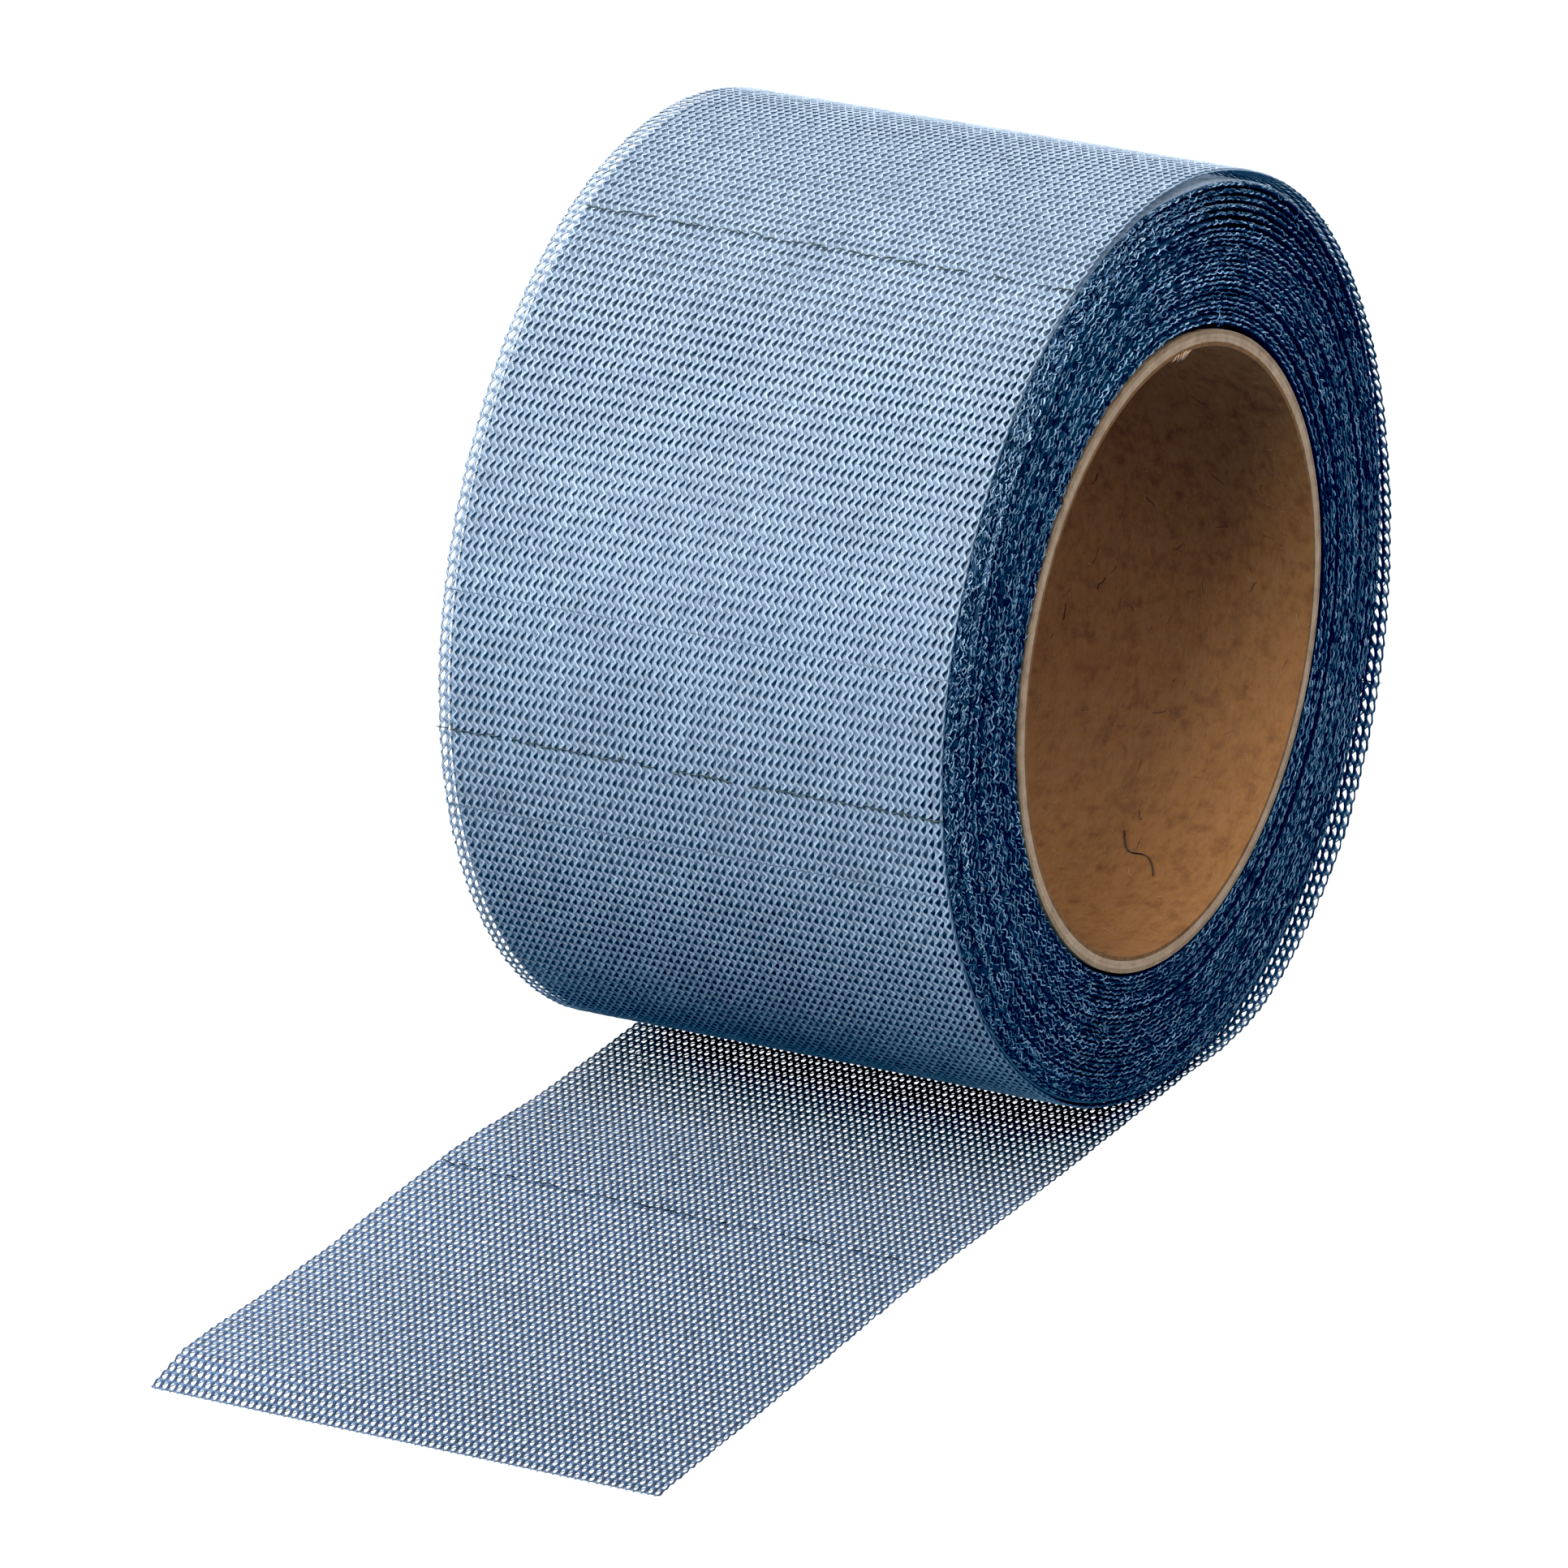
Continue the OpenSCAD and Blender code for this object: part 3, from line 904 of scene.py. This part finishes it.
def wound_turns():
    """One closed spiral ribbon, with the toothed edges of the knit at both ends."""
    count = TURNS * 360 + 1                      # a column every degree
    wound = np.arange(count) * 1.0
    depth = wound / 360
    angle = np.radians(JOIN_ANGLE + 360 + wound)
    radius = WIND_R - PITCH * wound / 360 + swell(JOIN_ANGLE + wound, depth)
    random = np.random.default_rng(91)
    tooth = np.where(np.arange(count) % 2 == 0, 0.16, -0.16)
    wobble = random.normal(0, 0.035, count)
    thickness = 0.21 * np.clip((TURNS * 360 - wound) / 30, 0.05, 1)      # half, thin at the end
    pick = random.random(count)[:, None]
    # the stretch the last turn leaves in sight
    shown = (smooth_step(270, 282, wound) * (1 - smooth_step(361, 366, wound)))[:, None]
    points = np.empty((count, len(RIBBON), 3))
    colours = np.empty((count, len(RIBBON), 3))
    for i, (side, end, bulge, _) in enumerate(RIBBON):
        if end == 0:                             # thickest half way, where turns all but touch
            rim = radius + side * thickness
            y = 0 * radius
            colours[:, i] = colours[:, i - 1]
        else:
            inside = abs(side) < 1
            jitter = random.normal(0, 0.05, count)
            rim = radius + side * thickness + wobble * (1 if inside else 0.4)
            y = end * (HALF - 0.25 + bulge * 0.6 + tooth * (0.5 if inside else 0.3)
                       - stand_back(depth, end) + jitter)
            if end < 0:
                y = y + near_recess((JOIN_ANGLE + wound) % 360, depth)
            if side > 0.5:
                colour = END_MID * (0.12 + 0.65 * random.random(count)[:, None] ** 1.5)
                colours[:, i] = mixed(colour, UNDER_MID * (0.75 + 0.3 * pick), shown)
            elif side < -0.5:
                colours[:, i] = END_DARK
            else:
                colours[:, i] = END_DARK + 0.45 * (END_MID - END_DARK) * pick ** 1.5
        points[:, i] = np.stack([rim * np.cos(angle), y, rim * np.sin(angle)], -1)

    ids = np.arange(count * len(RIBBON)).reshape(count, len(RIBBON))
    faces = []
    for i in range(len(RIBBON)):
        j = (i + 1) % len(RIBBON)
        faces.append(facets(ids[:-1, i], ids[1:, i], ids[1:, j], ids[:-1, j]))
    faces += [ids[0][None, :], ids[-1][None, ::-1]]
    uv = np.empty((count, len(RIBBON), 2))
    uv[:, :, 0] = [place for _, _, _, place in RIBBON]
    uv[:, :, 1] = (wound / (TURNS * 360))[:, None]
    return make_mesh("wound_turns_net", points.reshape(-1, 3), faces, TURN_YARN,
                     uv.reshape(-1, 2), colours.reshape(-1, 3))


piece = wound_turns()
add_to_roll(piece)
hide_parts("wound_turns")


# ---------------------------------------------------------------- yarn on the turns' edges
ALONG = np.linspace(-0.5, 0.5, 5)[None]          # stations along a loop
ARCH = (2 * ALONG) ** 2                          # 0 at its middle, 1 at its ends


def side_loops(name, seed, count):
    """Loops on the outer faces of the outermost wound turns, by the near edges that step back."""
    random = np.random.default_rng(seed)
    angle = random.uniform(60, 290, count)
    depth = random.uniform(0, 4.6, count).astype(int) + np.mod(angle - JOIN_ANGLE, 360) / 360
    length = random.uniform(0.6, 1.1, count)
    slant = np.where(random.random(count) < 0.5, 1, -1) * random.uniform(0.2, 0.75, count)
    around = ALONG * (length * np.cos(slant))[:, None]
    across = ALONG * (length * np.sin(slant))[:, None]
    radius = (WIND_R - PITCH * depth + swell(angle, depth) + 0.24)[:, None]
    radius = radius + 0.08 * (1 - ARCH)
    turned = np.radians(angle)[:, None] + around / radius
    inward = random.uniform(0.05, 0.55, count)[:, None] + across
    y = (near_recess(angle, depth)[:, None]
         - (HALF - 0.12 - inward - stand_back(depth, -1)[:, None]))
    colours = mixed(END_MID, END_LIGHT, random.random(count)[:, None])
    colours[random.random(count) < 0.25] = END_DARK * 1.6
    lines = np.stack([radius * np.cos(turned), y, radius * np.sin(turned)], -1)
    return tubes(name, lines, random.uniform(0.07, 0.10, count), LOOSE_YARN, colours)


def loop_places(random, end, parity):
    """Angle and turn of every second half course of each turn, with a few left out."""
    angles, turns = [], []
    for i in range(TURNS):
        count = 2 * int(2 * math.pi * (WIND_R - PITCH * (i + 0.5)) / COURSE)
        start = np.random.default_rng((77, i, end + 1)).uniform(0, 360)
        angles.append(np.mod(start + np.arange(parity, count, 2) * 360 / count, 360))
        turns.append(np.full(len(angles[-1]), i))
    angle, turn = np.concatenate(angles), np.concatenate(turns)
    keep = random.random(len(angle)) < 0.95
    return angle[keep], turn[keep]


def yarn_ends(name, end, seed, parity=None, count=0):
    """Loops of yarn along the turns' edges on one end of the roll (-1 near, 1 far).

    Pieces of parity 0 and 1 together make a zigzag; without a parity, a count of loose ends."""
    random = np.random.default_rng(seed)
    if parity is None:
        turn = random.integers(0, TURNS, count)
        angle = random.random(count) * 360
    else:
        angle, turn = loop_places(random, end, parity)
        count = len(angle)
    depth = turn + np.mod(angle - JOIN_ANGLE, 360) / 360
    # the loops lie in tidy rows away from the front and by the core, and zigzag on the front
    front = np.exp(-((angle - 178) / 52) ** 2)
    tidy = np.clip(1 - front, 0, 1) * 0.85 + 0.15 * np.clip((depth - 19) / 4, 0, 1)
    untidy = 1 - tidy
    radius = WIND_R - PITCH * depth + random.normal(0, 0.05 + 0.07 * untidy, count) + 0.05
    radius = np.clip(radius, WIND_R0 - 0.12, WIND_R + 0.16) + swell(angle, depth)
    if parity is None:
        length = random.uniform(0.5, 1.3, count)
        slant = random.normal(0.0, 0.5, count)
        bow = random.normal(0.0, 0.16, count)
        rise = 0.12 + 0.16 * random.random(count)
        thickness = random.uniform(0.04, 0.07, count)
        pick = random.random(count) ** 1.4
        dark = random.random(count) < 0.5
    else:                                        # where tidy, the odd loops lie lower and darker
        lower = tidy if parity else 0
        length = random.uniform(0.80, 1.0, count)
        slant = ((1 if parity else -1) * (0.16 + 0.46 * untidy)
                 + random.normal(0, 0.10 + 0.16 * untidy, count))
        bow = random.normal(0.0, 0.05, count)
        rise = 0.06 + 0.12 * random.random(count) - 0.13 * lower
        thickness = random.uniform(0.075, 0.110, count) * (1 - 0.2 * lower)
        pick = random.random(count) ** 0.9 * (1 - 0.35 * lower)
        dark = random.random(count) < 0.24 - 0.10 * tidy

    along = ALONG * length[:, None]
    across = along * np.sin(slant)[:, None] + bow[:, None] * (1 - ARCH)
    around = along * np.cos(slant)[:, None]
    out = rise[:, None] * (1 - 0.9 * ARCH) - 0.10 - stand_back(depth, end)[:, None]
    rim = radius[:, None] + across
    turned = np.radians(angle)[:, None] + around / radius[:, None]
    y = end * (HALF - 0.02 + out)
    if end < 0:
        y = y + near_recess(angle, depth)[:, None]
    lines = np.stack([rim * np.cos(turned), y, rim * np.sin(turned)], -1)

    # patches of paler and of darker yarn; over them, painted light makes the loops palest at the
    # top, where light from above catches them, and a little paler near the bottom
    shade = (1 + 0.16 * np.sin(np.radians(angle) * 3 + depth * 0.7)
             + 0.14 * np.sin(np.radians(angle) * 7 - depth * 0.9 + 1.3))
    shade = shade * (1.12 + 0.85 * np.exp(-((np.mod(angle, 360) - 82) / 42) ** 2)
                     + 0.30 * np.exp(-((np.mod(angle, 360) - 262) / 45) ** 2))
    colours = mixed(END_MID, END_LIGHT, pick[:, None]) * shade[:, None]
    colours[dark] = END_DARK * 1.6
    return tubes(name, lines, thickness, LOOSE_YARN, colours)


for yarn in (yarn_ends("yarn_near_1", end=-1, seed=5, parity=0),
             yarn_ends("yarn_near_2", end=-1, seed=6, parity=1),
             yarn_ends("yarn_near_3", end=-1, seed=7, count=2600),
             yarn_ends("yarn_far_1", end=1, seed=8, parity=0),
             yarn_ends("yarn_far_2", end=1, seed=9, parity=1),
             side_loops("yarn_near_4", seed=12, count=3400)):
    add_to_roll(yarn)


# ---------------------------------------------------------------- tear lines
def tear_line(name, course, seed, material=TEAR, face=1, y_range=(-HALF, HALF),
              gap=0.2, spread=0.12):
    """A row of short dark fibres across the strip where the sheets tear apart.

    face: 1 light, -1 dark; gap: share of fibres left out; spread: scatter along, mm."""
    random = np.random.default_rng(seed)
    lines, radii = [], []
    share = np.linspace(0, 1, 6)
    taper = np.array([0.5, 0.9, 1, 1, 0.9, 0.5])
    y, y_end = y_range
    while y < y_end - 0.5:
        length = random.uniform(0.6, 2.0)
        if random.random() > gap:
            offset = (random.normal(0, spread) + random.normal(0, 0.10) * (share - 0.5) * 2
                      + 0.10 * np.sin(share * math.pi * random.uniform(0.6, 2.5)
                                      + random.uniform(0, 6)))
            place = course + offset / COURSE
            across = y + share * length
            x, z, normal_x, normal_z = strip_path(place)
            height = face * ((0.27 if face > 0 else 0.19)
                             + 0.04 * np.sin(share * 5 + random.uniform(0, 6)))
            x, z = x + normal_x * height, z + normal_z * height
            z = np.where(place <= LIFT_COURSE, z + tail_lift(x, across) + 0.03, z)
            lines.append(np.stack([x, across + edge_drift(place), z], -1))
            radii.append(random.uniform(0.06, 0.12) * taper)
        y += length * random.uniform(0.6, 1.15)
    return tubes(name, np.array(lines), np.array(radii), material, sides=4)


for i, angle in enumerate((43.0, 110.4, 180.7, 248.0)):
    piece = tear_line("tear_turn_%d" % (i + 1), float(course_at(angle)), 40 + i)
    add_to_roll(piece)

piece = tear_line("tear_lap", JOIN_COURSE - 8.0 / COURSE, 50)
blend_at(piece, JOIN_COURSE - PIECE)

tail_tear = FOOT_COURSE - 4 * PIECE
for name, seed, options in (
        ("tear_tail_top", 51, dict(material=TEAR_DARK, face=-1, y_range=(-31, 33), gap=0.5)),
        ("tear_tail_under", 52, dict(gap=0.35))):
    piece = tear_line(name, tail_tear, seed, spread=0.06, **options)
    blend_at(piece, tail_tear)

# ---------------------------------------------------------------- the core
TAPE = two_tone_material("film_tape", srgb(206, 200, 182), srgb(230, 226, 212), scale=300,
                         grain=0.5, rough=0.35, sheen=0.0, strength=0.3, depth=0.02)
for name, material in (("core_inner_liner", BORE), ("core_wall_ply_1", WALL),
                       ("core_wall_ply_2", WALL), ("core_outer_ply", OUTER_PLY),
                       ("start_tape", TAPE)):
    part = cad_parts[name]
    if not part.data.materials:
        part.data.materials.append(material)
    for slot in part.material_slots:
        slot.material = material


def bore_line(random, start, end, bend, stations=8, radius=BORE_R - 0.03):
    """A thread lying on the bore between two places, each a y and an angle."""
    share = np.linspace(0, 1, stations)
    bend_y, bend_around = random.normal(0, bend, 2)
    y = start[0] + (end[0] - start[0]) * share + bend_y * np.sin(math.pi * share)
    angle = (np.radians(start[1] + (end[1] - start[1]) * share)
             + bend_around / BORE_R * np.sin(math.pi * share * 2))
    return np.stack([radius * np.cos(angle), y, radius * np.sin(angle)], -1)


def bore_fibres(random, count, pick_length, curl):
    """Short fibres scattered over the bore, pointing every way."""
    lines = []
    for _ in range(count):
        y = random.uniform(-34, 34)
        angle = random.uniform(0, 360)
        heading = random.uniform(0, math.pi)
        length = pick_length()
        end = (float(np.clip(y + length * math.cos(heading), -34.6, 34.6)),
               angle + math.degrees(length * math.sin(heading) / BORE_R))
        lines.append(bore_line(random, (y, angle), end, bend=curl * length))
    return np.array(lines)


def rim_burr(random):
    """A small torn flap of fibres on the near rim of the bore, at the top."""
    lines = []
    share = np.linspace(0, 1, 6)
    for i in range(9):
        angle = math.radians(random.uniform(79.5, 86.0)) + share * random.uniform(0.01, 0.035)
        radius = 38.15 - share * random.uniform(0.1, 0.9) + 0.1 * np.sin(share * 5 + i)
        y = -35.02 - 0.10 * np.sin(share * math.pi) + 0.2 * share
        lines.append(np.stack([radius * np.cos(angle), y, radius * np.sin(angle)], -1))
    return tubes("core_rim_burr", np.array(lines), random.uniform(0.07, 0.15, len(lines)),
                 WALL, sides=5)


core_random = np.random.default_rng(64)          # shared: the draws below follow one another
pale = bore_fibres(core_random, 800, lambda: 0.4 + 2.6 * core_random.random() ** 2, curl=0.10)
dark = bore_fibres(core_random, 150, lambda: core_random.uniform(0.5, 2.5), curl=0.12)
add_to_roll(tubes("core_fibres_pale", pale, core_random.uniform(0.016, 0.034, len(pale)),
                  KRAFT_FIBRE))
add_to_roll(tubes("core_fibres_dark", dark, core_random.uniform(0.02, 0.045, len(dark)),
                  KRAFT_DARK))
hair = bore_line(core_random, (-18.4, -62.6), (-25.6, -72.4), bend=1.1, stations=14, radius=38.0)
add_to_roll(tubes("core_hair", np.array([hair]), np.array([0.075]), HAIR, sides=5))
add_to_roll(rim_burr(core_random))


# ---------------------------------------------------------------- stage, light and camera
def floor_material():
    """Seen near white with a faint soft shadow, but lighting the object as pale board."""
    surface = Surface("floor")
    surface.finish(Base_Color=(0.20, 0.28, 0.36), Roughness=0.9)
    glow = surface.node("Emission", {"Color": (1, 1, 1), "Strength": 1.40})
    seen = surface.node("LightPath").outputs["Is Camera Ray"]
    share = surface.math("MULTIPLY", seen, 0.86)
    mix = surface.node("MixShader", {0: share, 1: surface.principled.outputs[0],
                                     2: glow.outputs[0]})
    surface.feed(surface.output, {0: mix.outputs[0]})
    return surface.material


def build_floor():
    """A square floor, in metres, 0.6 mm below the object."""
    reach = 3.0
    z = FLOOR / 1000 - 0.0006
    mesh = bpy.data.meshes.new("floor")
    corners = [(-reach, -reach, z), (reach, -reach, z), (reach, reach, z), (-reach, reach, z)]
    mesh.from_pydata(corners, [], [(0, 1, 2, 3)])
    mesh.materials.append(floor_material())
    floor = bpy.data.objects.new("floor", mesh)
    scene.collection.objects.link(floor)


def build_world():
    """A sky that brightens upwards to light the scene, and plain white for the camera."""
    world = bpy.data.worlds.new("studio")
    scene.world = world
    shader = Shader(world)
    output = shader.node("OutputWorld")
    sky = shader.node("Background", {1: 0.66})
    coordinates = shader.node("TexCoord")
    split = shader.node("SeparateXYZ", {0: coordinates.outputs["Generated"]})
    colour = shader.ramp(split.outputs[2], (0.0, (0.04, 0.12, 0.21)),
                         (0.56, (0.22, 0.25, 0.30)), (1.0, (1.0, 1.06, 1.12)))
    shader.feed(sky, {0: colour})
    backdrop = shader.node("Background", {0: (1, 1, 1), 1: 1.25})
    seen = shader.node("LightPath").outputs["Is Camera Ray"]
    mix = shader.node("MixShader", {0: seen, 1: sky.outputs[0], 2: backdrop.outputs[0]})
    shader.feed(output, {0: mix.outputs[0]})


def area_light(name, place, power, size=(0.6, 0.5), colour=(0.97, 0.98, 1.0)):
    """A rectangular light aimed at the origin; metres and watts."""
    data = bpy.data.lights.new(name, "AREA")
    data.shape = "RECTANGLE"
    data.size, data.size_y = size
    data.energy = power
    data.color = colour
    light = bpy.data.objects.new(name, data)
    light.location = place
    light.rotation_euler = (-Vector(place)).to_track_quat("-Z", "Y").to_euler()
    scene.collection.objects.link(light)


def build_camera():
    """A long lens looking from the front and the near end, a little from above."""
    yaw, pitch, tilt = (math.radians(angle) for angle in (-60.705, 23.101, -1.679))
    back = Vector((math.sin(yaw) * math.cos(pitch), -math.cos(yaw) * math.cos(pitch),
                   math.sin(pitch)))
    level_right = Vector((math.cos(yaw), math.sin(yaw), 0))
    level_up = back.cross(level_right)
    right = math.cos(tilt) * level_right + math.sin(tilt) * level_up
    up = -math.sin(tilt) * level_right + math.cos(tilt) * level_up
    data = bpy.data.cameras.new("camera")
    data.sensor_width = 36.0
    data.sensor_fit = "HORIZONTAL"
    data.lens = 432.0177
    data.clip_start, data.clip_end = 0.1, 20.0
    camera = bpy.data.objects.new("camera", data)
    matrix = Matrix((right, up, back)).transposed().to_4x4()
    matrix.translation = Vector((-1.88494, -1.03735, 0.89426))
    camera.matrix_world = matrix
    scene.collection.objects.link(camera)
    scene.camera = camera


build_floor()
build_world()
area_light("key_top", (-0.66, 0.06, 0.80), power=15.6, size=(0.7, 0.6), colour=(1, 1, 1))
area_light("fill_front", (0.22, -0.85, 0.90), power=5.0)
area_light("side_soft", (1.0, 0.10, 0.42), power=6.0)
area_light("back_soft", (-0.35, 1.15, 0.60), power=10.0)
build_camera()

view = scene.view_settings
view.view_transform = "Standard"
view.look = "None"
view.use_curve_mapping = True
view.curve_mapping.black_level = (0.022, 0.014, 0.005)   # deepens the shadows, red most
view.curve_mapping.update()
